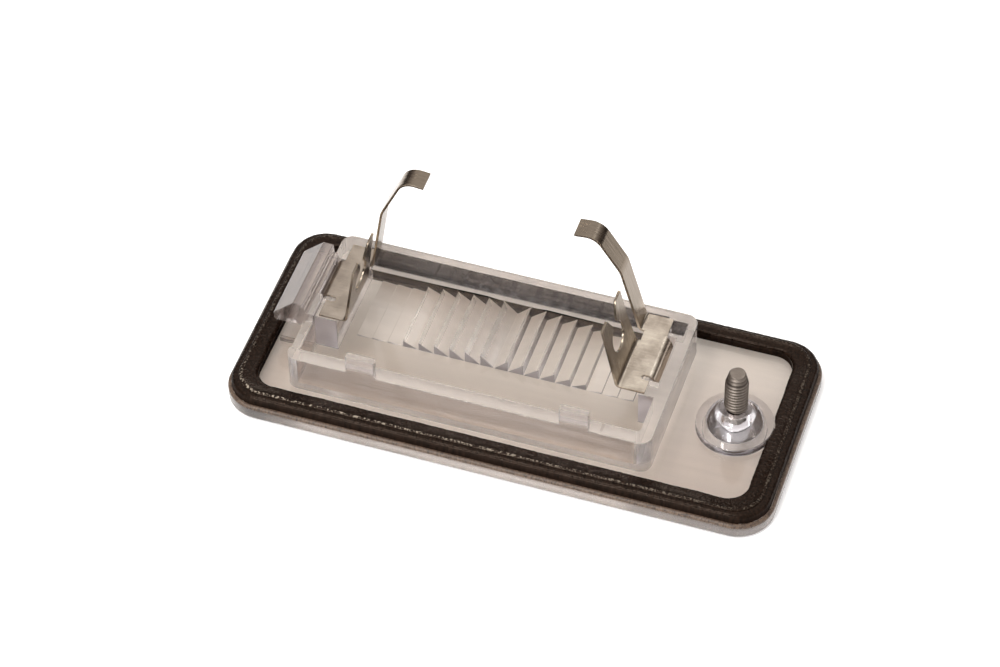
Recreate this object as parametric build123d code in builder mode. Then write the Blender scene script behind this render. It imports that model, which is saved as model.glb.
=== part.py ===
from build123d import *
import os

# Number plate lamp, seen from its inner side: clear lens housing, sponge seal, two bulb contacts and a
# captive fixing screw. Millimetres, +Z up, origin at the middle of the plate's flat outer face.

# Bulb chamber: the walls that stand on the plate
chamber_length = 46.3
chamber_width = 21.9
chamber_corner = 1.5
wall_height = 5.2
front_wall = 1.9
rear_wall = 1.2
end_wall = 1.7
left_wall_extra = 0.4
left_wall_thickness = 1.2
left_wall_drop = 0.6
cavity_corner = 0.5

# Plate: its reach past the chamber on each side, its thickness and its edges
hook_bay = 7.8
boss_bay = 15.9
front_bay = 4.75
rear_bay = 3.75
plate_thickness = 2.2
plate_corner = 4.7
plate_foot_round = 0.5
plate_rim_round = 0.4

# Sponge seal: a bead inside the plate's rim, wider at the ends, with a relief round the boss
seal_rim_gap = 0.05
seal_front_width = 2.75
seal_rear_width = 2.25
seal_end_width = 3.15
seal_boss_gap = 0.15
seal_height = 1.45
seal_outer_round = 0.9
seal_inner_round = 0.35
seal_inner_corner = 2.6

# Prism field on the chamber floor, mirrored about the middle of the bulb
tall_teeth = 6
low_teeth = 3
tooth_pitch = 2.03
middle_tooth = 1.8
tooth_height = 1.8
tooth_fall = 0.03
low_tooth_height = 0.22
prism_length = 9.55
ledge_width = 0.7

# End pads that carry the contacts
pad_depth = 3.65
pad_width = 13.15
pocket_length = 2.1
pocket_width = 2.1
pocket_depth = 2.6
pocket_rear_wall = 0.35

# Lugs on the front wall
lug_width = 3.7
lug_height = 2.8
lug_thickness = 0.9
lug_spacing = 27.3

# Snap hook at the left end
hook_width = 10.9
hook_shift = 1.45
hook_reach = 4.05
hook_panel_gap = 2.1
hook_nose_height = 1.3
hook_ridge_height = 2.15
hook_ridge_width = 1.35
hook_ridge_inset = 0.05
hook_inner_draft = 0.15
hook_nose_round = 0.5
hook_ridge_round = 0.25
hook_shelf_height = 0.8
hook_rib_gap = 0.4
hook_rib_width = 0.5
hook_rib_height = 0.6

# Screw boss
boss_edge_distance = 8.05
boss_radius = 4.8
boss_rim_height = 1.0
boss_cone_radius = 2.7
boss_cone_height = 2.4
boss_collar_radius = 1.95
boss_height = 3.6

# Captive fixing screw: its thread is wider than the shank that passes through the boss
shank_radius = 1.15
thread_radius = 1.45
thread_gap = 0.35
thread_reach = 6.3
point_radius = 1.0
point_length = 1.8
head_radius = 2.7
head_height = 1.9
head_edge_round = 0.5
recess_span = 2.6
recess_slot = 0.7
recess_depth = 1.0
screw_clearance = 0.12
head_clearance = 0.4
head_sink = 0.6

# Bulb contacts: folded spring strip
strip = 0.32
bend_radius = 0.45
seat_overhang = 2.8
seat_length = 12.5
seat_front_gap = 0.15
lip_offset = 1.5
lip_drop = 1.6
lip_length = 6.8
lip_front_gap = 2.75
lip_relief = 0.8
relief_depth = 1.1
lip_inner_gap = 0.15
lip_outer_gap = 0.35
groove_floor_gap = 0.5
groove_end_gap = 0.4
left_contact_shift = 1.6
left_lip_setback = 0.65

# Bulb fork of a contact
bulb_height = 5.1
bulb_setback = 3.7
fork_foot_width = 8.0
fork_waist_width = 7.2
fork_tip_width = 7.1
fork_rise = 9.2
bulb_hole_radius = 1.95
throat_width = 1.65
throat_rise = 2.5
mouth_width = 3.5
right_fork_lean = 0.22
left_fork_lean = 0.15

# Long arm of a contact: the left arm stands straighter and taller than the right
arm_width = 2.8
right_arm_lean = 0.27
right_arm_rise = 9.4
right_crown_lean = 0.64
right_crown_rise = 5.1
left_arm_lean = 0.16
left_arm_rise = 10.0
left_crown_lean = 0.47
left_crown_rise = 6.4
arm_curl_length = 2.7
arm_curl_drop = 0.3
arm_knee_radius = 3.0
arm_crown_radius = 2.2

# Places worked out from the sizes above
plate_length = hook_bay + chamber_length + boss_bay
plate_width = front_bay + chamber_width + rear_bay
chamber_x = (hook_bay - boss_bay) / 2
chamber_y = (front_bay - rear_bay) / 2
chamber_left = chamber_x - chamber_length / 2 - left_wall_extra
chamber_front = chamber_y - chamber_width / 2
chamber_rear = chamber_y + chamber_width / 2
floor_z = plate_thickness
wall_top = floor_z + wall_height
cavity_front = chamber_front + front_wall
cavity_rear = chamber_rear - rear_wall
cavity_width = cavity_rear - cavity_front
cavity_length = chamber_length - 2 * end_wall
cavity_left = chamber_x - cavity_length / 2
bay_left = chamber_left + left_wall_thickness
pad_inner = chamber_length / 2 - pad_depth
pad_front = cavity_rear - pad_width
ledge_front = cavity_rear - ledge_width
boss_x = plate_length / 2 - boss_edge_distance
bore_radius = shank_radius + screw_clearance
head_top = head_sink + head_height
hook_under = floor_z + seal_height + hook_panel_gap
hook_front = chamber_y + hook_shift - hook_width / 2
hook_rear = hook_front + hook_width
contact_front = pad_front + seat_front_gap
contact_rear = contact_front + seat_length
bend_middle = bend_radius + strip / 2
lip_front = contact_front + lip_front_gap
lip_rear = lip_front + lip_length
groove_rear = lip_rear + groove_end_gap
lip_reach = pad_inner + lip_offset
seat_inner = pad_inner - seat_overhang
seat_outer = lip_reach - strip / 2 - bend_middle
seat_middle = wall_top + strip / 2
groove_inner = seat_outer - lip_inner_gap
groove_outer = lip_reach + lip_outer_gap
left_groove_edge = chamber_x - groove_outer - left_contact_shift
left_groove_front = lip_front + left_lip_setback - groove_end_gap
bulb_y = contact_front + bulb_setback
fork_foot_rear = contact_front + fork_foot_width
bulb_z = wall_top + bulb_height
fork_top = wall_top + fork_rise
arm_front = contact_rear - arm_width
boss_top = floor_z + boss_height
thread_start = boss_top + thread_gap
screw_tip = boss_top + thread_reach
pad_overlap = end_wall / 2
plate_overlap = plate_thickness / 2
seal_edge = plate_rim_round + seal_rim_gap
seal_length = plate_length - 2 * seal_edge
seal_width = plate_width - 2 * seal_edge
seal_hole_length = seal_length - 2 * seal_end_width
seal_hole_width = seal_width - seal_front_width - seal_rear_width
seal_hole_y = (seal_front_width - seal_rear_width) / 2

# Each end of the chamber: direction along X, how far its contact is set out, how far back its lip starts
chamber_ends = ((-1, left_contact_shift, left_lip_setback), (1, 0, 0))

# Tooth steps as (distance from the middle, height) of each peak
tooth_peaks = []
for tooth in range(tall_teeth + low_teeth):
    peak_height = tooth_height - tooth_fall * tooth**2
    if tooth >= tall_teeth:
        peak_height = low_tooth_height
    tooth_peaks.append((middle_tooth + tooth * tooth_pitch, peak_height))

# Clear lens housing, one moulding
with BuildPart() as lens_housing:
    # Plate
    with BuildSketch():
        RectangleRounded(plate_length, plate_width, plate_corner)
    extrude(amount=plate_thickness)
    fillet(lens_housing.edges().group_by(Axis.Z)[0], plate_foot_round)
    fillet(lens_housing.edges().group_by(Axis.Z)[-1], plate_rim_round)

    # Chamber walls
    with BuildSketch(Plane.XY.offset(floor_z)):
        with Locations((chamber_x - left_wall_extra / 2, chamber_y)):
            RectangleRounded(chamber_length + left_wall_extra, chamber_width, chamber_corner)
        with Locations((chamber_x, (cavity_front + cavity_rear) / 2)):
            RectangleRounded(cavity_length, cavity_width, cavity_corner, mode=Mode.SUBTRACT)
    extrude(amount=wall_height)

    # End pads
    with BuildSketch(Plane.XY.offset(floor_z)):
        for side, _, _ in chamber_ends:
            pad_outer = chamber_length / 2 - pad_overlap
            with Locations((chamber_x + side * (pad_inner + pad_outer) / 2, (pad_front + cavity_rear) / 2)):
                Rectangle(pad_outer - pad_inner, pad_width)
    extrude(amount=wall_height)

    # Left wall in front of its pad: thinner, and lower as far as the hook
    with BuildSketch(Plane.XY.offset(floor_z)):
        with Locations((bay_left, cavity_front)):
            bay_length = cavity_left + cavity_corner - bay_left
            Rectangle(bay_length, pad_front - cavity_front, align=(Align.MIN, Align.MIN))
    extrude(amount=wall_height, mode=Mode.SUBTRACT)
    with BuildSketch(Plane.XY.offset(wall_top)):
        with Locations((chamber_left, cavity_front)):
            Rectangle(left_wall_thickness, hook_front - cavity_front, align=(Align.MIN, Align.MIN))
    extrude(amount=-left_wall_drop, mode=Mode.SUBTRACT)

    # Ledge behind the prisms
    with BuildSketch(Plane.XY.offset(floor_z)):
        with Locations((chamber_x, (ledge_front + cavity_rear) / 2)):
            Rectangle(2 * pad_inner, ledge_width)
    extrude(amount=tooth_height)

    # Prism teeth: each rises outward to a step
    prism_plane = Plane(
        origin=(chamber_x, ledge_front - prism_length, floor_z), x_dir=(1, 0, 0), z_dir=(0, -1, 0)
    )
    with BuildSketch(prism_plane):
        with BuildLine():
            outline = [(0, -plate_overlap), (0, 0)]
            for peak_x, peak_height in tooth_peaks:
                outline += [(peak_x, peak_height), (peak_x, 0)]
            outline.append((tooth_peaks[-1][0], -plate_overlap))
            Polyline(*outline, close=True)
        make_face()
        mirror(about=Plane.YZ)
    extrude(amount=-prism_length)

    # Lugs flush with the front wall
    with BuildSketch(Plane.XY.offset(wall_top)):
        with Locations((chamber_x, chamber_front + lug_thickness / 2)):
            with GridLocations(lug_spacing, 0, 2, 1):
                Rectangle(lug_width, lug_thickness)
    extrude(amount=lug_height)

    # Snap hook: a flat-topped wedge that reaches out over the seal
    hook_plane = Plane(
        origin=(chamber_left, hook_rear, hook_under), x_dir=(1, 0, 0), z_dir=(0, -1, 0)
    )
    with BuildSketch(hook_plane) as hook_profile:
        with BuildLine():
            Polyline(
                (pad_overlap, 0),
                (-hook_reach, 0),
                (-hook_reach, hook_nose_height),
                (hook_ridge_inset - hook_ridge_width, wall_top - hook_under + hook_ridge_height),
                (hook_ridge_inset, wall_top - hook_under + hook_ridge_height),
                (hook_ridge_inset + hook_inner_draft, wall_top - hook_under),
                (pad_overlap, wall_top - hook_under),
                close=True,
            )
        make_face()
        fillet(hook_profile.vertices().group_by(Axis.X)[0], hook_nose_round)
        fillet(hook_profile.vertices().group_by(Axis.Y)[-1], hook_ridge_round)
    extrude(amount=hook_width)

    # Shelf between the hook and its contact's groove, wider in front of the groove
    with BuildSketch(Plane.XY.offset(wall_top)):
        with Locations((chamber_left + hook_ridge_inset, hook_front)):
            shelf_width = left_groove_edge - chamber_left - hook_ridge_inset
            Rectangle(shelf_width, hook_width, align=(Align.MIN, Align.MIN))
            foreland_width = left_wall_thickness - hook_ridge_inset
            Rectangle(foreland_width, left_groove_front - hook_front, align=(Align.MIN, Align.MIN))
    extrude(amount=hook_shelf_height)

    # Rib across the plate at the front of the hook
    with BuildSketch(Plane.XY.offset(floor_z)):
        rib_start = hook_rib_gap - seal_hole_length / 2
        with Locations(((rib_start + chamber_left) / 2, hook_front)):
            Rectangle(chamber_left - rib_start, hook_rib_width)
    extrude(amount=hook_rib_height)

    # Screw boss: rim, cone and collar
    with BuildSketch(Plane(origin=(boss_x, 0, floor_z), x_dir=(1, 0, 0), z_dir=(0, -1, 0))):
        with BuildLine():
            Polyline(
                (0, -plate_overlap),
                (boss_radius, -plate_overlap),
                (boss_radius, boss_rim_height),
                (boss_cone_radius, boss_cone_height),
                (boss_collar_radius, boss_height),
                (0, boss_height),
                close=True,
            )
        make_face()
    revolve(axis=Axis((boss_x, 0, 0), (0, 0, 1)))

    # Screw bore with its head recess in the outer face
    with Locations(Plane(origin=(boss_x, 0, 0), z_dir=(0, 0, -1))):
        CounterBoreHole(bore_radius, head_radius + head_clearance, head_top, boss_top)

    # Grooves for the contact lips
    with BuildSketch(Plane.XY.offset(wall_top)):
        for side, shift, lip_setback in chamber_ends:
            groove_x = chamber_x + side * ((groove_inner + groove_outer) / 2 + shift)
            groove_front = lip_front + lip_setback - groove_end_gap
            with Locations((groove_x, (groove_front + groove_rear) / 2)):
                Rectangle(groove_outer - groove_inner, groove_rear - groove_front)
    extrude(amount=-(lip_drop + groove_floor_gap), mode=Mode.SUBTRACT)

    # Square pocket behind the right groove
    with BuildSketch(Plane.XY.offset(wall_top)):
        with Locations((chamber_x + lip_reach, cavity_rear - pocket_rear_wall - pocket_width / 2)):
            Rectangle(pocket_length, pocket_width)
    extrude(amount=-pocket_depth, mode=Mode.SUBTRACT)
lens_housing.part.label = "lens_housing"

# Sponge seal on the plate
with BuildPart() as seal:
    with BuildSketch(Plane.XY.offset(floor_z)):
        RectangleRounded(seal_length, seal_width, plate_corner - seal_edge)
        with Locations((0, seal_hole_y)):
            RectangleRounded(seal_hole_length, seal_hole_width, seal_inner_corner, mode=Mode.SUBTRACT)
        with Locations((boss_x, 0)):
            Circle(boss_radius + seal_boss_gap, mode=Mode.SUBTRACT)
    extrude(amount=seal_height)
    crown = seal.faces().sort_by(Axis.Z)[-1]
    fillet(crown.outer_wire().edges(), seal_outer_round)
    crown = seal.faces().sort_by(Axis.Z)[-1]
    fillet(crown.inner_wires()[0].edges(), seal_inner_round)
seal.part.label = "seal"


# One contact as it sits at the right end: seat with lip, bulb fork and arm, all from one strip
def spring_contact(lip_setback, fork_lean, arm_lean, arm_rise, crown_lean, crown_rise):
    side_view = Plane(origin=(chamber_x, contact_front, 0), x_dir=(1, 0, 0), z_dir=(0, -1, 0))
    lip_start = lip_front + lip_setback
    arm_knee_x = seat_inner - arm_lean * arm_rise
    arm_crown_x = arm_knee_x - crown_lean * crown_rise
    arm_crown_z = seat_middle + arm_rise + crown_rise
    with BuildPart() as contact:
        # Fork strip, bent up from the seat and leaning towards the bulb
        with BuildSketch(side_view):
            with BuildLine():
                FilletPolyline(
                    (seat_outer, seat_middle),
                    (seat_inner, seat_middle),
                    (seat_inner - fork_lean * fork_rise, seat_middle + fork_rise),
                    radius=bend_middle,
                )
            trace(line_width=strip)
        extrude(amount=-fork_foot_width)

        # Fork outline: prongs round a keyhole for the bulb cap
        with BuildSketch(Plane.YZ.offset(chamber_x)):
            with BuildLine():
                Polyline(
                    (bulb_y - fork_waist_width / 2, floor_z),
                    (bulb_y - fork_waist_width / 2, bulb_z),
                    (bulb_y - fork_tip_width / 2, fork_top),
                    (bulb_y - mouth_width / 2, fork_top),
                    (bulb_y - throat_width / 2, bulb_z + throat_rise),
                    (bulb_y - throat_width / 2, bulb_z),
                    (bulb_y, bulb_z),
                    (bulb_y, floor_z),
                    close=True,
                )
            make_face()
            mirror(about=Plane.YZ.offset(bulb_y))
            with BuildLine():
                Polyline(
                    (contact_front, floor_z),
                    (contact_front, wall_top + bend_middle),
                    (bulb_y - fork_waist_width / 2, bulb_z),
                    (bulb_y + fork_waist_width / 2, bulb_z),
                    (fork_foot_rear, wall_top + bend_middle),
                    (fork_foot_rear, floor_z),
                    close=True,
                )
            make_face()
            with Locations((bulb_y, bulb_z)):
                Circle(bulb_hole_radius, mode=Mode.SUBTRACT)
        extrude(amount=chamber_length, mode=Mode.INTERSECT)

        # Seat plate
        with BuildSketch(Plane.XY.offset(wall_top)):
            with Locations((chamber_x + seat_inner + bend_middle, contact_front)):
                Rectangle(seat_outer - seat_inner - bend_middle, seat_length, align=(Align.MIN, Align.MIN))
        extrude(amount=strip)

        # Lip rolled down into its groove
        with BuildSketch(side_view.offset(contact_front - lip_start)):
            with BuildLine():
                FilletPolyline(
                    (seat_inner + bend_middle, seat_middle),
                    (lip_reach - strip / 2, seat_middle),
                    (lip_reach - strip / 2, seat_middle - lip_drop),
                    radius=bend_middle,
                )
            trace(line_width=strip)
        extrude(amount=lip_start - lip_rear)

        # Round-ended relief at the front of the lip
        with BuildSketch(Plane.XY.offset(wall_top)):
            with Locations((chamber_x + seat_outer, lip_start - lip_relief / 2)):
                SlotOverall(2 * relief_depth, lip_relief)
        extrude(amount=strip, mode=Mode.SUBTRACT)

        # Long arm, bent up behind the fork and curled in over the bulb
        with BuildSketch(side_view.offset(contact_front - arm_front)):
            with BuildLine():
                FilletPolyline(
                    (seat_outer, seat_middle),
                    (seat_inner, seat_middle),
                    (arm_knee_x, seat_middle + arm_rise),
                    (arm_crown_x, arm_crown_z),
                    (arm_crown_x - arm_curl_length, arm_crown_z - arm_curl_drop),
                    radius=(bend_middle, arm_knee_radius, arm_crown_radius),
                )
            trace(line_width=strip)
        extrude(amount=-arm_width)
    return contact.part


# Right contact
with BuildPart() as contact_right:
    add(
        spring_contact(
            0, right_fork_lean, right_arm_lean, right_arm_rise, right_crown_lean, right_crown_rise
        )
    )
contact_right.part.label = "contact_right"

# Left contact, mirrored and set further out
with BuildPart() as contact_left:
    with Locations((-left_contact_shift, 0, 0)):
        left_blank = mirror(
            spring_contact(
                left_lip_setback,
                left_fork_lean,
                left_arm_lean,
                left_arm_rise,
                left_crown_lean,
                left_crown_rise,
            ),
            about=Plane.YZ.offset(chamber_x),
            mode=Mode.PRIVATE,
        )
        add(left_blank)
contact_left.part.label = "contact_left"

# Captive fixing screw: head in the outer face, thread up through the boss
with BuildPart() as fixing_screw:
    with BuildSketch(Plane(origin=(boss_x, 0, 0), x_dir=(1, 0, 0), z_dir=(0, -1, 0))):
        with BuildLine():
            Polyline(
                (0, head_sink),
                (head_radius, head_sink),
                (head_radius, head_top),
                (shank_radius, head_top),
                (shank_radius, thread_start),
                (thread_radius, thread_start),
                (thread_radius, screw_tip - point_length),
                (point_radius, screw_tip),
                (0, screw_tip),
                close=True,
            )
        make_face()
    revolve(axis=Axis((boss_x, 0, 0), (0, 0, 1)))
    fillet(fixing_screw.edges().group_by(Axis.Z)[0], head_edge_round)
    with BuildSketch(Plane.XY.offset(head_sink)):
        with Locations((boss_x, 0)):
            with PolarLocations(0, 2, angular_range=180):
                Rectangle(recess_span, recess_slot)
    extrude(amount=recess_depth, mode=Mode.SUBTRACT)
fixing_screw.part.label = "fixing_screw"

os.makedirs("parts", exist_ok=True)
for piece in (lens_housing, seal, contact_left, contact_right, fixing_screw):
    export_step(piece.part, f"parts/{piece.part.label}.step")
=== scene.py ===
import math

import bmesh
import bpy
from mathutils import Matrix, Vector, noise


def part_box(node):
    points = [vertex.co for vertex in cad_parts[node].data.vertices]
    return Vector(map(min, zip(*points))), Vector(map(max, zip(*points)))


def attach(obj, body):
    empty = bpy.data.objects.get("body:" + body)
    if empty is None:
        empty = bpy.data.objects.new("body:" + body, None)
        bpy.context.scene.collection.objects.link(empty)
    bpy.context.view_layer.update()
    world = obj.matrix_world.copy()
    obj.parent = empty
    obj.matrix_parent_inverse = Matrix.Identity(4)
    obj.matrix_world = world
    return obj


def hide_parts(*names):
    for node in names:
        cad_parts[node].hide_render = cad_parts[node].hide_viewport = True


# Number plate lamp, seen from its inner side: clear moulded lens housing, sponge seal, two bulb contacts
# and a captive fixing screw. The frame is in metres, and the sizes below are in millimetres times MM.

MM = 0.001

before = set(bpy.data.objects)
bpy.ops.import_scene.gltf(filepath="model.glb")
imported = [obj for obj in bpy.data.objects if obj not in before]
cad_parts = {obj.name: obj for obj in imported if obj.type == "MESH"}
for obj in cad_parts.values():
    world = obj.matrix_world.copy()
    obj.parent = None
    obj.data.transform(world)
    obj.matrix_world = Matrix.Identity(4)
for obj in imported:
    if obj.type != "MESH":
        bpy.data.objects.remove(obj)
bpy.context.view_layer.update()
lens_low, lens_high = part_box("lens_housing")
seal_low, seal_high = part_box("seal")
screw_low, screw_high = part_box("fixing_screw")

# Middle of the screw and its boss
boss_place = Vector(((screw_low.x + screw_high.x) / 2, (screw_low.y + screw_high.y) / 2, 0))

# Camera: where it looks, from where, how far it leans, its lens and sensor, and the nearest thing it sees
view_target = Vector((-5.81, 7.56, 0)) * MM
view_azimuth = math.radians(19.46)
view_elevation = math.radians(48.14)
view_roll = math.radians(1.31)
view_distance = 440.7 * MM
view_lens = 126
view_sensor = 36
view_nearest = 10 * MM

# Soft lights as (name, place, width, depth, power in watts, colour)
soft_lights = (
    ("strip", Vector((-130, 520, 270)) * MM, 300 * MM, 40 * MM, 0.4, "#fff6ea"),
    ("overhead", Vector((-150, -200, 650)) * MM, 250 * MM, 250 * MM, 2.0, "#ffffff"),
    ("window", Vector((250, 450, 460)) * MM, 100 * MM, 100 * MM, 0.07, "#f6fbff"),
    ("front", Vector((-130, -500, 340)) * MM, 300 * MM, 100 * MM, 2.2, "#ffffff"),
)

# Sky around the studio as (share of the way up, colour)
sky_shades = ((0, "#2b2523"), (0.35, "#625a56"), (0.6, "#cfcac9"), (0.75, "#f0edec"), (1, "#ffffff"))
sky_strength = 1.35

# Floor: its reach, where it starts and stops getting darker, and its glow
floor_reach = 600 * MM
floor_pale_reach = 120 * MM
floor_dim_reach = 400 * MM
floor_glow = 0.25

# Clearances that keep touching faces from lying in one plane
floor_gap = 0.05 * MM
seal_gap = 0.02 * MM
contact_gap = 0.01 * MM

# Copies of CAD nodes: merging, whole faces and eased edges
merge_distance = 0.0005 * MM
flat_angle = math.radians(1)
edge_angle = math.radians(28)
lens_edge = 0.1 * MM
contact_edge = 0.06 * MM
screw_edge = 0.06 * MM

# Sockets of a colour Mix node: its two colours and its result
MIX_FIRST = 6
MIX_SECOND = 7
MIX_RESULT = 2

# Depth of a bump at full strength
bump_depth = 0.1 * MM

# Contact strip and its outer lip: the tight bend that the CAD has and the wider roll that stands for it
contact_strip = 0.32 * MM
contact_seat = 7.72 * MM
lip_bend_radius = 0.77 * MM
lip_rear = 6.8 * MM
lip_fade = 0.4 * MM
lip_roll_step = 0.14 * MM
# Share that is left of the lip's straight end, below the roll
lip_straight_share = 0.77
# Each lip: where it starts, how far inside the tight bend its roll begins, and the roll's radius and angle
left_lip = (0.65 * MM, 0 * MM, 0.95 * MM, math.radians(80))
right_lip = (0 * MM, 0.58 * MM, 1.1 * MM, math.radians(72))

# Heights between which the contacts turn brown up their arms: painted reflection of dark surroundings
contact_painted_reflection_low = 8 * MM
contact_painted_reflection_high = 11 * MM

# Tarnished and bright tints of each contact. Both are one metal, so the difference between their tints is
# painted light and shade
contact_shades = {"left": ("#8f8478", "#a69b8e"), "right": ("#a09486", "#cdc2b2")}

# Share of a face's normal along an axis: below the first it stands upright, past the second it faces that
# way, and past the third it is square to the axis
upright_share = 0.3
facing_share = 0.5
square_share = 0.9

# Rim under the seal's edge, painted brown as painted shade: how far in and down it goes
rim_reach = 1.6 * MM
rim_low = 1.75 * MM

# Prism teeth: their middle, reach each way, front, rear and highest point
prism_middle = -4.05 * MM
prism_reach = 19 * MM
prism_front = -0.3 * MM
prism_rear = 9.8 * MM
prism_top = 4.2 * MM

# Plate, and the walls, end pads and ledge that stand on it
plate_top = 2.23 * MM
wall_right = 20 * MM
pad_front = -2.9 * MM
ledge_front = 9.45 * MM

# Chamber floor around the prism teeth, with the same middle
bay_reach = 23.1 * MM
bay_front = -10.4 * MM
bay_rear = 11.2 * MM

# Reach of the boss round its middle, and where the hook ends
boss_reach = 5.2 * MM
hook_right = -27.3 * MM

# Tints of the lens finishes as (place, colour) along one axis
# Underside: beige, and darker at its two ends, is painted shade for the shaded floor seen through the plate;
# its satin finish is wear
outer_shades = (
    (-29.5 * MM, "#d6c6b5"),
    (-27 * MM, "#eaddcc"),
    (17 * MM, "#eaddcc"),
    (21 * MM, "#d3c4b5"),
)
# Outer side of the plate: dark at its foot and brown at its top, painted shade
rim_shades = ((0.1 * MM, "#857e80"), (0.5 * MM, "#c8beb6"), (1.2 * MM, "#c8beb6"), (1.8 * MM, "#5f4938"))
# Prism slopes and steps darker towards the rear: painted shade
slope_shades = ((5 * MM, "#f6f3f4"), (9.8 * MM, "#b8aca3"))
step_shades = ((2 * MM, "#ebe7e9"), (8 * MM, "#665b59"))
# Boss wall dark at its foot: painted shade
boss_shades = ((2.3 * MM, "#2a2325"), (2.55 * MM, "#463c40"), (3 * MM, "#c9c2c9"), (4 * MM, "#ece8ee"))
# Plate darker towards the front and pale at the rear: painted shade and painted light
plate_shades = ((-8 * MM, "#dcd5d2"), (2 * MM, "#f1edec"), (10 * MM, "#ffffff"))
# Walls warmer at their foot: painted light for the warm floor light seen through them
wall_shades = ((2.4 * MM, "#fbebdd"), (4.4 * MM, "#f6f0ef"))
# Chamber floor darker towards the front and pale at the rear: painted shade and painted light
bay_shades = ((-6 * MM, "#bdb6b2"), (2 * MM, "#dcd7d5"), (10 * MM, "#ffffff"))
# Hook darker on its left panel and pale on its ridge: painted shade and painted light
hook_shades = (
    (-31.6 * MM, "#958a84"),
    (-29.2 * MM, "#a1958f"),
    (-28.7 * MM, "#d8ccc7"),
    (-27.5 * MM, "#e6dad2"),
)

# Flow lines in the plastic: their width, and how they are drawn out along the part or along the hook
flow_width = 0.9 * MM
part_flow = (0.06, 1, 1)
hook_flow = (1, 0.06, 1)

# Seal bead: widths, corners, mesh steps, and the angle past which an edge stays sharp
seal_front_width = 2.75 * MM
seal_rear_width = 2.25 * MM
seal_end_width = 3.15 * MM
seal_outer_corner = 4.25 * MM
seal_inner_corner = 2.6 * MM
seal_corner_steps = 14
seal_step = 0.15 * MM
seal_edge_angle = math.radians(60)
# Room that the seal leaves round the middle of the boss
seal_relief = 4.95 * MM
# Seal skin: where it starts above the plate, and its fine lines, pores and waves
seal_skin_foot = 0.1 * MM
seal_line_pitch = 0.25 * MM
seal_line_depth = 0.02 * MM
seal_pore_size = 0.35 * MM
seal_pore_depth = 0.03 * MM
seal_wave_length = 3 * MM
seal_wave_depth = 0.06 * MM
# Seal section: side, rounded shoulder, shallow groove, crown ridge, flat inner skin and rounded inner edge
seal_side_height = 0.6 * MM
seal_shoulder_width = 0.62 * MM
seal_shoulder_height = 1.22 * MM
seal_ridge_start = 0.78 * MM
seal_ridge_width = 0.5 * MM
seal_ridge_height = 1.44 * MM
seal_flat_height = 1.33 * MM
seal_inner_round = 0.5 * MM
seal_round_steps = 6
# Pale specks on the crown, partly wear and partly painted highlight: the least of them, and how quickly
# they fade down the ridge and away from the front
seal_least_wear_and_glint = 0.1
seal_ridge_fade = 4
seal_front_fade = 4

# Screw thread: its pitch, radii, foot, and one turn's outline as (share of the pitch, radius)
thread_pitch = 0.5 * MM
thread_crest = 1.45 * MM
thread_root = 1.17 * MM
thread_foot = 6.15 * MM
thread_outline = ((0, thread_root), (0.4, thread_crest), (0.6, thread_crest))
# Mesh steps in a turn, and turns made past the thread's two ends and then cut off
turn_steps = 48
spare_turns = 3
# Narrowed tip of the screw
point_foot = 10.3 * MM
point_radius = 1.0 * MM


def linear(hex_colour):
    """An sRGB hex colour as linear RGBA"""
    channels = [int(hex_colour[i : i + 2], 16) / 255 for i in (1, 3, 5)]
    return [c / 12.92 if c <= 0.04045 else ((c + 0.055) / 1.055) ** 2.4 for c in channels] + [1]


def node(tree, kind, links=None, **settings):
    """Adds a node: settings are its properties, links give its sockets a value or another node's socket"""
    made = tree.nodes.new(kind)
    for name, value in settings.items():
        setattr(made, name, value)
    for socket, value in (links or {}).items():
        if isinstance(value, bpy.types.NodeSocket):
            tree.links.new(value, made.inputs[socket])
        else:
            made.inputs[socket].default_value = value
    return made


def new_material(name):
    """A material with a bare Principled shader: gives the material, its node tree and its shader"""
    material = bpy.data.materials.new(name)
    material.use_nodes = True
    return material, material.node_tree, material.node_tree.nodes["Principled BSDF"]


def new_piece(name, bm, material, replaced):
    """Turns a bmesh into a piece that rides on the part"""
    mesh = bpy.data.meshes.new(name)
    bm.to_mesh(mesh)
    bm.free()
    piece = bpy.data.objects.new(name, mesh)
    bpy.context.scene.collection.objects.link(piece)
    mesh.materials.append(material)
    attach(piece, "root")
    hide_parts(replaced)
    even = piece.modifiers.new("even_faces", "WEIGHTED_NORMAL")
    even.keep_sharp = True
    return piece


def smooth_by_angle(bm, angle):
    """Shades a bmesh smooth and marks the edges that stay sharp"""
    for face in bm.faces:
        face.smooth = True
    for edge in bm.edges:
        edge.smooth = edge.calc_face_angle(0) < angle
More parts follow.
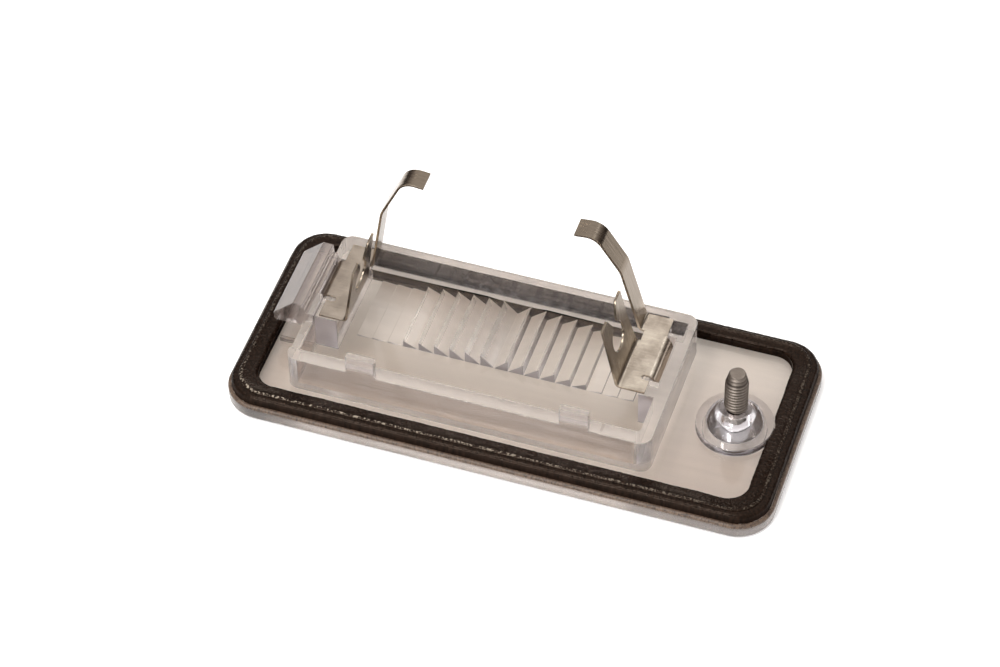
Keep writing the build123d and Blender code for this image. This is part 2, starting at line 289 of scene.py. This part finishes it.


# Clear polycarbonate, injection moulded: glassy, with faint flow lines and streaks. Its tint is one colour,
# or shades along an axis, which are painted shade and painted light where the part is lit unevenly or a
# neighbour shades it. Haze is the share that wear has clouded
def polycarbonate(name, roughness, tint, axis=None, streaks=0.08, haze=0, flow=part_flow):
    material, tree, shader = new_material(name)
    place = node(tree, "ShaderNodeTexCoord").outputs["Object"]
    along = node(tree, "ShaderNodeMapping", {"Vector": place, "Scale": flow})
    lines = node(
        tree,
        "ShaderNodeTexNoise",
        {"Vector": along.outputs["Vector"], "Scale": 1 / flow_width, "Detail": 3},
    )
    ripple = node(
        tree,
        "ShaderNodeBump",
        {"Height": lines.outputs["Fac"], "Strength": 0.05, "Distance": bump_depth},
    )
    streak = node(
        tree,
        "ShaderNodeMapRange",
        {
            "Value": lines.outputs["Fac"],
            "From Min": 0.35,
            "From Max": 0.65,
            "To Min": 1 - streaks,
            "To Max": 1,
        },
    )
    if axis:
        first, last = tint[0][0], tint[-1][0]
        reach = node(tree, "ShaderNodeSeparateXYZ", {"Vector": place}).outputs[axis]
        share = node(tree, "ShaderNodeMapRange", {"Value": reach, "From Min": first, "From Max": last})
        shaded = node(tree, "ShaderNodeValToRGB", {"Fac": share.outputs["Result"]})
        shaded.color_ramp.elements[0].color = linear(tint[0][1])
        shaded.color_ramp.elements[1].color = linear(tint[-1][1])
        for where, shade in tint[1:-1]:
            shaded.color_ramp.elements.new((where - first) / (last - first)).color = linear(shade)
        colour = shaded.outputs["Color"]
    else:
        colour = linear(tint)
    clear = node(
        tree,
        "ShaderNodeMix",
        {"Factor": 1, MIX_FIRST: colour, MIX_SECOND: streak.outputs["Result"]},
        data_type="RGBA",
        blend_type="MULTIPLY",
    )
    tree.links.new(clear.outputs[MIX_RESULT], shader.inputs["Base Color"])
    tree.links.new(ripple.outputs["Normal"], shader.inputs["Normal"])
    shader.inputs["Transmission Weight"].default_value = 1 - haze
    shader.inputs["Roughness"].default_value = roughness
    shader.inputs["IOR"].default_value = 1.55
    return material


# The plastic's rim under the seal's edge, made opaque, matt and brownish, with fine marks across the edge:
# painted shade for the shadowed floor under the seal, seen through the rim
def rim_painted_shade():
    mark_width = 0.18 * MM
    material, tree, shader = new_material("rim_painted_shade")
    place = node(tree, "ShaderNodeTexCoord").outputs["Object"]
    upright = node(tree, "ShaderNodeMapping", {"Vector": place, "Scale": (1, 1, 0.05)})
    marks = node(
        tree,
        "ShaderNodeTexNoise",
        {"Vector": upright.outputs["Vector"], "Scale": 1 / mark_width, "Detail": 2},
    )
    shade = node(tree, "ShaderNodeValToRGB", {"Fac": marks.outputs["Fac"]})
    shade.color_ramp.elements[0].position = 0.3
    shade.color_ramp.elements[0].color = linear("#2a1c14")
    shade.color_ramp.elements[1].position = 0.7
    shade.color_ramp.elements[1].color = linear("#695544")
    tree.links.new(shade.outputs["Color"], shader.inputs["Base Color"])
    shader.inputs["Roughness"].default_value = 0.5
    return material


# Closed-cell sponge rubber, cut and skinned: brown-black, with a faint sheen on top, matt sides, fine cross
# lines, and pale specks on the crown that are partly wear and partly painted highlight
def sponge_rubber():
    line_width = 0.3 * MM
    pit_width = 0.25 * MM
    material, tree, shader = new_material("sponge_rubber")
    place = node(tree, "ShaderNodeTexCoord").outputs["Object"]
    upright = node(tree, "ShaderNodeMapping", {"Vector": place, "Scale": (1, 1, 0.15)})
    lines = node(
        tree,
        "ShaderNodeTexNoise",
        {"Vector": upright.outputs["Vector"], "Scale": 1 / line_width, "Detail": 3},
    )
    pits = node(tree, "ShaderNodeTexNoise", {"Vector": place, "Scale": 1 / pit_width, "Detail": 2})
    crown = node(tree, "ShaderNodeAttribute", attribute_name="crown")
    shade = node(tree, "ShaderNodeValToRGB", {"Fac": lines.outputs["Fac"]})
    shade.color_ramp.elements[0].position = 0.3
    shade.color_ramp.elements[0].color = linear("#080402")
    shade.color_ramp.elements[1].position = 0.7
    shade.color_ramp.elements[1].color = linear("#20150f")
    specks = node(
        tree,
        "ShaderNodeMapRange",
        {"Value": pits.outputs["Fac"], "From Min": 0.5, "From Max": 0.62},
    )
    # Pale specks on the crown: partly wear, partly painted highlight
    wear_and_painted_light = node(
        tree,
        "ShaderNodeMath",
        {0: specks.outputs["Result"], 1: crown.outputs["Fac"]},
        operation="MULTIPLY",
    )
    skin = node(
        tree,
        "ShaderNodeMix",
        {"Factor": wear_and_painted_light.outputs["Value"], MIX_FIRST: shade.outputs["Color"], MIX_SECOND: linear("#c9bba8")},
        data_type="RGBA",
    )
    dull = node(
        tree,
        "ShaderNodeMapRange",
        {"Value": pits.outputs["Fac"], "From Min": 0.3, "From Max": 0.7, "To Min": 0.12, "To Max": 0.28},
    )
    grooves = node(
        tree,
        "ShaderNodeBump",
        {"Height": lines.outputs["Fac"], "Strength": 0.6, "Distance": bump_depth},
    )
    height = node(tree, "ShaderNodeSeparateXYZ", {"Vector": place}).outputs["Z"]
    side = node(
        tree,
        "ShaderNodeMapRange",
        {
            "Value": height,
            "From Min": seal_low.z + seal_side_height,
            "From Max": seal_low.z + seal_shoulder_height,
            "To Min": 1,
            "To Max": 0,
        },
    )
    matt = node(
        tree,
        "ShaderNodeMath",
        {0: dull.outputs["Result"], 1: side.outputs["Result"]},
        operation="MAXIMUM",
    )
    tree.links.new(skin.outputs[MIX_RESULT], shader.inputs["Base Color"])
    tree.links.new(matt.outputs["Value"], shader.inputs["Roughness"])
    tree.links.new(grooves.outputs["Normal"], shader.inputs["Normal"])
    shader.inputs["Specular IOR Level"].default_value = 0.17
    shader.inputs["Specular Tint"].default_value = linear("#dcc4b2")
    return material


# Rolled spring strip, nickel plated: warm silver with patches of tarnish, and browner up the arms, which is
# painted reflection of dark surroundings. The lines along the rolling are drawn coarser than real ones,
# so that they show
def spring_metal(name, tarnished, bright):
    line_width = 0.35 * MM
    patch_width = 2.5 * MM
    material, tree, shader = new_material(name)
    place = node(tree, "ShaderNodeTexCoord").outputs["Object"]
    along = node(tree, "ShaderNodeMapping", {"Vector": place, "Scale": (0.1, 1, 0.1)})
    lines = node(
        tree,
        "ShaderNodeTexNoise",
        {"Vector": along.outputs["Vector"], "Scale": 1 / line_width, "Detail": 4},
    )
    height = node(tree, "ShaderNodeSeparateXYZ", {"Vector": place}).outputs["Z"]
    # Browner up the arms: painted reflection
    arm_painted_reflection = node(
        tree,
        "ShaderNodeMapRange",
        {"Value": height, "From Min": contact_painted_reflection_low, "From Max": contact_painted_reflection_high},
    )
    patches = node(tree, "ShaderNodeTexNoise", {"Vector": place, "Scale": 1 / patch_width, "Detail": 3})
    tarnish = node(tree, "ShaderNodeValToRGB", {"Fac": patches.outputs["Fac"]})
    tarnish.color_ramp.elements[0].position = 0.35
    tarnish.color_ramp.elements[0].color = linear(tarnished)
    tarnish.color_ramp.elements[1].position = 0.65
    tarnish.color_ramp.elements[1].color = linear(bright)
    dull = node(
        tree,
        "ShaderNodeMapRange",
        {"Value": lines.outputs["Fac"], "To Min": 0.12, "To Max": 0.32},
    )
    scratch = node(
        tree,
        "ShaderNodeBump",
        {"Height": lines.outputs["Fac"], "Strength": 0.4, "Distance": bump_depth},
    )
    tint = node(
        tree,
        "ShaderNodeMix",
        {
            "Factor": arm_painted_reflection.outputs["Result"],
            MIX_FIRST: tarnish.outputs["Color"],
            MIX_SECOND: linear("#7d7265"),
        },
        data_type="RGBA",
    )
    tree.links.new(tint.outputs[MIX_RESULT], shader.inputs["Base Color"])
    tree.links.new(dull.outputs["Result"], shader.inputs["Roughness"])
    tree.links.new(scratch.outputs["Normal"], shader.inputs["Normal"])
    shader.inputs["Metallic"].default_value = 1
    return material


# Zinc-plated steel with a rolled thread, gone dull: grey-brown in stains, with painted shade dark in the
# grooves up to the narrowed tip
def zinc_plated_steel():
    stain_width = 0.8 * MM
    material, tree, shader = new_material("zinc_plated_steel")
    place = node(tree, "ShaderNodeTexCoord").outputs["Object"]
    centred = node(
        tree,
        "ShaderNodeMapping",
        {"Vector": place, "Location": -boss_place, "Scale": (1, 1, 0)},
    )
    radius = node(tree, "ShaderNodeVectorMath", {0: centred.outputs["Vector"]}, operation="LENGTH")
    # Darker towards the thread's root, painted shade, except near the tip
    crest_share = node(
        tree,
        "ShaderNodeMapRange",
        {"Value": radius.outputs["Value"], "From Min": thread_root, "From Max": thread_crest},
    )
    stain = node(tree, "ShaderNodeTexNoise", {"Vector": place, "Scale": 1 / stain_width, "Detail": 5})
    shade = node(tree, "ShaderNodeValToRGB", {"Fac": stain.outputs["Fac"]})
    shade.color_ramp.elements[0].color = linear("#5d554d")
    shade.color_ramp.elements[1].color = linear("#9a9087")
    height = node(tree, "ShaderNodeSeparateXYZ", {"Vector": place}).outputs["Z"]
    tip = node(
        tree,
        "ShaderNodeMapRange",
        {"Value": height, "From Min": point_foot, "From Max": screw_high.z},
    )
    unshaded_share = node(
        tree,
        "ShaderNodeMath",
        {0: crest_share.outputs["Result"], 1: tip.outputs["Result"]},
        operation="MAXIMUM",
    )
    groove_shaded_colour = node(
        tree,
        "ShaderNodeMix",
        {"Factor": unshaded_share.outputs["Value"], MIX_FIRST: linear("#2e2723"), MIX_SECOND: shade.outputs["Color"]},
        data_type="RGBA",
    )
    tree.links.new(groove_shaded_colour.outputs[MIX_RESULT], shader.inputs["Base Color"])
    shader.inputs["Metallic"].default_value = 1
    shader.inputs["Roughness"].default_value = 0.4
    return material


def dressed_copy(cad_node, edge_width):
    """A CAD node's mesh as whole faces with eased edges"""
    bm = bmesh.new()
    bm.from_mesh(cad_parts[cad_node].data)
    bmesh.ops.remove_doubles(bm, verts=bm.verts, dist=merge_distance)
    bmesh.ops.dissolve_limit(bm, angle_limit=flat_angle, verts=bm.verts, edges=bm.edges)
    corners = [edge for edge in bm.edges if edge.calc_face_angle(0) > edge_angle]
    bmesh.ops.bevel(
        bm,
        geom=corners,
        offset=edge_width,
        offset_type="OFFSET",
        affect="EDGES",
        segments=2,
        profile=0.5,
        material=-1,
        clamp_overlap=True,
    )
    smooth_by_angle(bm, edge_angle)
    return bm


def lens_finish(face):
    """Which of the lens finishes a face has, by its place and the way it looks"""
    middle = face.calc_center_median()
    upright = abs(face.normal.z) < upright_share
    outside = abs(middle.x) > lens_high.x - rim_reach or abs(middle.y) > lens_high.y - rim_reach
    on_prisms = abs(middle.x - prism_middle) < prism_reach and prism_front < middle.y < prism_rear
    from_boss = (Vector((middle.x, middle.y, 0)) - boss_place).length
    if outside and rim_low < middle.z < seal_low.z:
        return "rim_painted_shade"
    if outside and middle.z < rim_low and face.normal.z > -square_share:
        return "rim_side"
    if middle.z < rim_low and face.normal.z < -facing_share:
        return "wear_and_painted_light"
    if on_prisms and plate_top < middle.z < prism_top:
        if middle.y > ledge_front and face.normal.y < -facing_share:
            return "ledge"
        if abs(face.normal.y) > facing_share:
            return "tooth_end"
        return "tooth_step" if abs(face.normal.x) > square_share else "tooth_slope"
    if middle.z > plate_top and upright and from_boss < boss_reach:
        return "boss"
    if middle.z > plate_top and middle.x < hook_right:
        return "hook"
    if middle.z > plate_top and upright and middle.x < wall_right:
        return "pad_end" if abs(middle.y - pad_front) < lens_edge else "wall"
    if face.normal.z > square_share and rim_low < middle.z < plate_top:
        inside = [
            abs(vert.co.x - prism_middle) < bay_reach and bay_front < vert.co.y < bay_rear
            for vert in face.verts
        ]
        return "bay" if all(inside) else "plate"
    return "clear"


def lens_piece():
    """The clear moulding, each face with its own finish"""
    finishes = {
        "clear": polycarbonate("clear_polycarbonate", 0.03, "#f3f0f3"),
        "plate": polycarbonate("plate_polycarbonate", 0.1, plate_shades, "Y", streaks=0.03),
        "bay": polycarbonate("bay_polycarbonate", 0.1, bay_shades, "Y", streaks=0.03),
        "wear_and_painted_light": polycarbonate("worn_painted_shade_polycarbonate", 0.28, outer_shades, "X"),
        "rim_painted_shade": rim_painted_shade(),
        "rim_side": polycarbonate("rim_polycarbonate", 0.25, rim_shades, "Z"),
        "tooth_slope": polycarbonate("satin_polycarbonate", 0.14, slope_shades, "Y"),
        "tooth_step": polycarbonate("shaded_step_polycarbonate", 0.2, step_shades, "Y"),
        "tooth_end": polycarbonate("frosted_polycarbonate", 0.45, "#a39a9c"),
        "ledge": polycarbonate("shaded_polycarbonate", 0.2, "#2a231f"),
        "boss": polycarbonate("boss_polycarbonate", 0.04, boss_shades, "Z"),
        "wall": polycarbonate("wall_polycarbonate", 0.05, wall_shades, "Z", streaks=0.22, haze=0.05),
        "hook": polycarbonate(
            "hook_polycarbonate", 0.05, hook_shades, "X", streaks=0.35, haze=0.15, flow=hook_flow
        ),
        "pad_end": polycarbonate("pad_polycarbonate", 0.3, "#b5abb0"),
    }
    names = list(finishes)
    bm = dressed_copy("lens_housing", lens_edge)
    for face in bm.faces:
        face.material_index = names.index(lens_finish(face))
    piece = new_piece("clear_lens", bm, finishes[names[0]], "lens_housing")
    for name in names[1:]:
        piece.data.materials.append(finishes[name])


def roll_lip(bm, side, lip_face, lip_front, roll_start, roll_radius, roll_angle):
    """Eases a contact's outer lip from its tight bend to a wide, sloping roll of the same strip"""
    bend_foot = lip_face - side * lip_bend_radius
    roll_foot = bend_foot - side * roll_start
    lip_end = lip_rear + lip_fade
    cuts = [((0, place, 0), (0, 1, 0)) for place in (lip_front, lip_rear, lip_end)]
    steps = math.ceil(roll_start / lip_roll_step)
    cuts += [((roll_foot + side * step * lip_roll_step, 0, 0), (1, 0, 0)) for step in range(steps)]
    for spot, away in cuts:
        faces = [
            face
            for face in bm.faces
            if away[1] or lip_front < face.calc_center_median().y < lip_end
        ]
        edges = {edge for face in faces for edge in face.edges}
        verts = {vert for face in faces for vert in face.verts}
        bmesh.ops.bisect_plane(bm, geom=faces + list(edges) + list(verts), plane_co=spot, plane_no=away)
    middle_radius = lip_bend_radius - contact_strip / 2
    bend_centre = contact_seat - lip_bend_radius
    for vert in bm.verts:
        out = side * (vert.co.x - bend_foot)
        if out < -roll_start or not lip_front - contact_edge < vert.co.y < lip_rear + contact_edge:
            continue
        if out <= 0:
            along = out
            depth = vert.co.z - bend_centre - middle_radius
        elif vert.co.z > bend_centre:
            along = middle_radius * math.atan2(out, vert.co.z - bend_centre)
            depth = math.hypot(out, vert.co.z - bend_centre) - middle_radius
        else:
            along = middle_radius * math.pi / 2 + bend_centre - vert.co.z
            depth = out - middle_radius
        along += roll_start
        turn = min(along / roll_radius, roll_angle)
        straight = lip_straight_share * (along - roll_radius * turn)
        reach = (roll_radius + depth) * math.sin(turn) + straight * math.cos(turn)
        rise = (roll_radius + depth) * math.cos(turn) - straight * math.sin(turn)
        vert.co.x = roll_foot + side * reach
        vert.co.z = bend_centre + middle_radius - roll_radius + rise
    smooth_by_angle(bm, edge_angle)


def contact_pieces():
    """The two bulb contacts, each with its own lip and tint"""
    for name, side, *lip_sizes in (("left", -1, *left_lip), ("right", 1, *right_lip)):
        low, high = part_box(f"contact_{name}")
        bm = dressed_copy(f"contact_{name}", contact_edge)
        roll_lip(bm, side, high.x if side > 0 else low.x, *lip_sizes)
        bmesh.ops.translate(bm, verts=bm.verts, vec=(0, 0, contact_gap))
        metal = spring_metal(f"spring_metal_{name}", *contact_shades[name])
        new_piece(f"spring_contact_{name}", bm, metal, f"contact_{name}")


def seal_outline(share):
    """A closed rounded outline at a share of the way from the seal's outer edge to its inner edge"""
    half_x = seal_high.x - share * seal_end_width
    front = seal_low.y + share * seal_front_width
    rear = seal_high.y - share * seal_rear_width
    corner = seal_outer_corner + share * (seal_inner_corner - seal_outer_corner)
    bm = bmesh.new()
    segments = 4 * seal_corner_steps
    half_step = Matrix.Rotation(math.pi / segments, 4, "Z")
    bmesh.ops.create_circle(bm, segments=segments, radius=corner, matrix=half_step)
    for vert in bm.verts:
        end = half_x - corner if vert.co.x > 0 else corner - half_x
        side = rear - corner if vert.co.y > 0 else front + corner
        vert.co += Vector((end, side, seal_low.z + seal_gap))
    straight = [edge for edge in bm.edges if edge.calc_length() > seal_outer_corner]
    sides = [edge for edge in straight if edge.calc_length() > (rear - front)]
    ends = [edge for edge in straight if edge not in sides]
    bmesh.ops.subdivide_edges(bm, edges=sides, cuts=round(2 * seal_high.x / seal_step))
    bmesh.ops.subdivide_edges(bm, edges=ends, cuts=round(2 * seal_high.y / seal_step))
    return bm


def seal_section():
    """The seal's section as (distance from the outer face, height, share of crown)"""
    section = [(0, 0, 0), (0, seal_side_height / 2, 0)]
    quarter = [math.pi / 2 * step / seal_round_steps for step in range(seal_round_steps + 1)]
    for turn in quarter:
        rise = seal_shoulder_height - seal_side_height
        inset = seal_shoulder_width * (1 - math.cos(turn))
        section.append((inset, seal_side_height + rise * math.sin(turn), 0))
    for turn in [2 * turn for turn in quarter]:
        rise = seal_ridge_height - seal_shoulder_height
        inset = seal_ridge_start + seal_ridge_width * (1 - math.cos(turn)) / 2
        settled = seal_shoulder_height + (seal_flat_height - seal_shoulder_height) * (turn / math.pi) ** 2
        top = settled + rise * math.sin(turn) * (1 - turn / math.tau)
        section.append((inset, top, max(0, math.sin(turn)) ** seal_ridge_fade))
    for turn in quarter:
        inset = seal_front_width - seal_inner_round * (1 - math.sin(turn))
        section.append((inset, seal_flat_height - seal_inner_round * (1 - math.cos(turn)), 0))
    section.append((seal_front_width, seal_flat_height / 3, 0))
    section.append((seal_front_width, 0, 0))
    return section


def seal_piece():
    """The sponge bead: its section drawn round its outline, then roughened"""
    bm = seal_outline(0)
    inner_outline = seal_outline(1)
    outer = [vert.co.copy() for vert in bm.verts]
    inner = [vert.co.copy() for vert in inner_outline.verts]
    inner_outline.free()
    order = bm.verts.layers.int.new("order")
    crown = bm.verts.layers.float.new("crown")
    for index, vert in enumerate(bm.verts):
        vert[order] = index
    ring = list(bm.edges)
    section = seal_section()
    for inset, height, share in section[1:] + section[:1]:
        made = bmesh.ops.extrude_edge_only(bm, edges=ring)["geom"]
        verts = {part for part in made if isinstance(part, bmesh.types.BMVert)}
        edges = [part for part in made if isinstance(part, bmesh.types.BMEdge)]
        ring = [edge for edge in edges if verts.issuperset(edge.verts)]
        for vert in verts:
            vert.co = outer[vert[order]].lerp(inner[vert[order]], inset / seal_front_width)
            vert.co.z += height
            # Crown specks strongest at the front and to the left, painted highlight standing in for glints
            frontal = max(0, vert.co.y / seal_low.y) ** seal_front_fade
            leftward = (seal_high.x - vert.co.x) / (2 * seal_high.x)
            vert[crown] = share * (seal_least_wear_and_glint + frontal * leftward)
    bmesh.ops.remove_doubles(bm, verts=bm.verts, dist=merge_distance)
    for vert in bm.verts:
        away = Vector((vert.co.x, vert.co.y, 0)) - boss_place
        if away.length < seal_relief:
            vert.co += away.normalized() * (seal_relief - away.length)
    bmesh.ops.recalc_face_normals(bm, faces=bm.faces)
    skin = [vert for vert in bm.verts if vert.co.z > seal_low.z + seal_skin_foot]
    rough = []
    for vert in skin:
        lines = noise.noise(Vector((vert.co.x, vert.co.y, 0)) / seal_line_pitch)
        pores = noise.noise(vert.co / seal_pore_size)
        waves = noise.noise(vert.co / seal_wave_length)
        rough.append(seal_line_depth * lines + seal_pore_depth * pores + seal_wave_depth * waves)
    for vert, depth in zip(skin, rough):
        vert.co += vert.normal * depth
    smooth_by_angle(bm, seal_edge_angle)
    new_piece("sponge_seal", bm, sponge_rubber(), "seal")


def screw_thread():
    """A closed length of thread that narrows towards the screw's tip"""
    bm = bmesh.new()
    turns = round((screw_high.z - thread_foot) / thread_pitch) + spare_turns
    verts = []
    for turn in range(turns):
        base = thread_foot + (turn - spare_turns / 2) * thread_pitch
        for share, radius in thread_outline:
            verts.append(bm.verts.new((boss_place.x + radius, boss_place.y, base + share * thread_pitch)))
    edges = [bm.edges.new(pair) for pair in zip(verts, verts[1:])]
    bmesh.ops.spin(
        bm,
        geom=verts + edges,
        cent=boss_place,
        axis=(0, 0, 1),
        dvec=(0, 0, thread_pitch / turn_steps),
        angle=math.tau,
        steps=turn_steps,
        use_merge=False,
    )
    bmesh.ops.remove_doubles(bm, verts=bm.verts, dist=merge_distance)
    for cut, away in ((thread_foot, -1), (screw_high.z, 1)):
        bmesh.ops.bisect_plane(
            bm,
            geom=list(bm.verts) + list(bm.edges) + list(bm.faces),
            plane_co=(0, 0, cut),
            plane_no=(0, 0, away),
            clear_outer=True,
        )
    for vert in bm.verts:
        share = max(0, (vert.co.z - point_foot) / (screw_high.z - point_foot))
        narrowing = share * (1 - point_radius / thread_crest)
        away = Vector((vert.co.x, vert.co.y, 0)) - boss_place
        vert.co -= narrowing * away
    bmesh.ops.holes_fill(bm, edges=[edge for edge in bm.edges if edge.is_boundary])
    return bm


def screw_piece():
    """The CAD screw up to its thread, and the thread set on it"""
    bm = dressed_copy("fixing_screw", screw_edge)
    bmesh.ops.translate(bm, verts=bm.verts, vec=(0, 0, -contact_gap))
    neck = thread_foot - 2 * screw_edge
    bmesh.ops.bisect_plane(
        bm,
        geom=list(bm.verts) + list(bm.edges) + list(bm.faces),
        plane_co=(0, 0, neck),
        plane_no=(0, 0, 1),
        clear_outer=True,
    )
    top = [edge for edge in bm.edges if edge.is_boundary]
    top_verts = {vert for edge in top for vert in edge.verts}
    bmesh.ops.translate(bm, verts=list(top_verts), vec=(0, 0, thread_pitch))
    bmesh.ops.holes_fill(bm, edges=top)
    thread = screw_thread()
    mesh = bpy.data.meshes.new("thread")
    thread.to_mesh(mesh)
    thread.free()
    bm.from_mesh(mesh)
    bmesh.ops.recalc_face_normals(bm, faces=bm.faces)
    smooth_by_angle(bm, edge_angle)
    new_piece("threaded_screw", bm, zinc_plated_steel(), "fixing_screw")


def floor_piece():
    """A pale floor that gets darker far from the part: painted shade for light falling off away from the
    lamps
    """
    bm = bmesh.new()
    bmesh.ops.create_grid(bm, x_segments=1, y_segments=1, size=floor_reach)
    bmesh.ops.translate(bm, verts=bm.verts, vec=(0, 0, lens_low.z - floor_gap))
    mesh = bpy.data.meshes.new("floor")
    bm.to_mesh(mesh)
    bm.free()
    floor = bpy.data.objects.new("floor", mesh)
    bpy.context.scene.collection.objects.link(floor)
    material, tree, shader = new_material("pale_floor")
    place = node(tree, "ShaderNodeTexCoord").outputs["Object"]
    away = node(tree, "ShaderNodeVectorMath", {0: place}, operation="LENGTH")
    far = node(
        tree,
        "ShaderNodeMapRange",
        {"Value": away.outputs["Value"], "From Min": floor_pale_reach, "From Max": floor_dim_reach},
    )
    pale = node(
        tree,
        "ShaderNodeMix",
        {"Factor": far.outputs["Result"], MIX_FIRST: linear("#f7f6f5"), MIX_SECOND: linear("#6e665f")},
        data_type="RGBA",
    )
    tree.links.new(pale.outputs[MIX_RESULT], shader.inputs["Base Color"])
    shader.inputs["Roughness"].default_value = 0.9
    shader.inputs["Emission Color"].default_value = linear("#ffffff")
    shader.inputs["Emission Strength"].default_value = floor_glow
    shader.inputs["Specular IOR Level"].default_value = 0
    mesh.materials.append(material)


def soft_light(name, place, width, depth, power, colour):
    """A rectangular soft light that faces the part"""
    light = bpy.data.lights.new(name, "AREA")
    light.shape = "RECTANGLE"
    light.size = width
    light.size_y = depth
    light.energy = power
    light.color = linear(colour)[:3]
    lamp = bpy.data.objects.new(name, light)
    lamp.location = place
    lamp.rotation_euler = (-place).to_track_quat("-Z", "Y").to_euler()
    bpy.context.scene.collection.objects.link(lamp)


def studio():
    """A sky that is dark at the horizon and white above, soft lights, and room for light to pass the lens"""
    world = bpy.data.worlds.new("studio")
    bpy.context.scene.world = world
    world.use_nodes = True
    tree = world.node_tree
    surround = tree.nodes["Background"]
    direction = node(tree, "ShaderNodeTexCoord").outputs["Generated"]
    height = node(tree, "ShaderNodeSeparateXYZ", {"Vector": direction}).outputs["Z"]
    sky = node(tree, "ShaderNodeValToRGB", {"Fac": height})
    sky.color_ramp.elements[0].color = linear(sky_shades[0][1])
    sky.color_ramp.elements[1].color = linear(sky_shades[-1][1])
    for share, colour in sky_shades[1:-1]:
        sky.color_ramp.elements.new(share).color = linear(colour)
    tree.links.new(sky.outputs["Color"], surround.inputs["Color"])
    surround.inputs["Strength"].default_value = sky_strength
    for light in soft_lights:
        soft_light(*light)
    scene = bpy.context.scene
    scene.view_settings.view_transform = "Standard"
    scene.cycles.sample_clamp_indirect = 4
    scene.cycles.max_bounces = 32
    scene.cycles.glossy_bounces = 24
    scene.cycles.transmission_bounces = 24


def camera():
    """The camera at the photograph's viewing angle"""
    back = Vector(
        (
            math.sin(view_azimuth) * math.cos(view_elevation),
            -math.cos(view_azimuth) * math.cos(view_elevation),
            math.sin(view_elevation),
        )
    )
    right = Vector((math.cos(view_azimuth), math.sin(view_azimuth), 0))
    up = back.cross(right)
    data = bpy.data.cameras.new("camera")
    data.lens = view_lens
    data.sensor_width = view_sensor
    data.clip_start = view_nearest
    made = bpy.data.objects.new("camera", data)
    turn = Matrix((right, up, back)).transposed().to_4x4()
    made.matrix_world = (
        Matrix.Translation(view_target + back * view_distance) @ turn @ Matrix.Rotation(-view_roll, 4, "Z")
    )
    bpy.context.scene.collection.objects.link(made)
    bpy.context.scene.camera = made


camera()
studio()
floor_piece()
lens_piece()
seal_piece()
contact_pieces()
screw_piece()
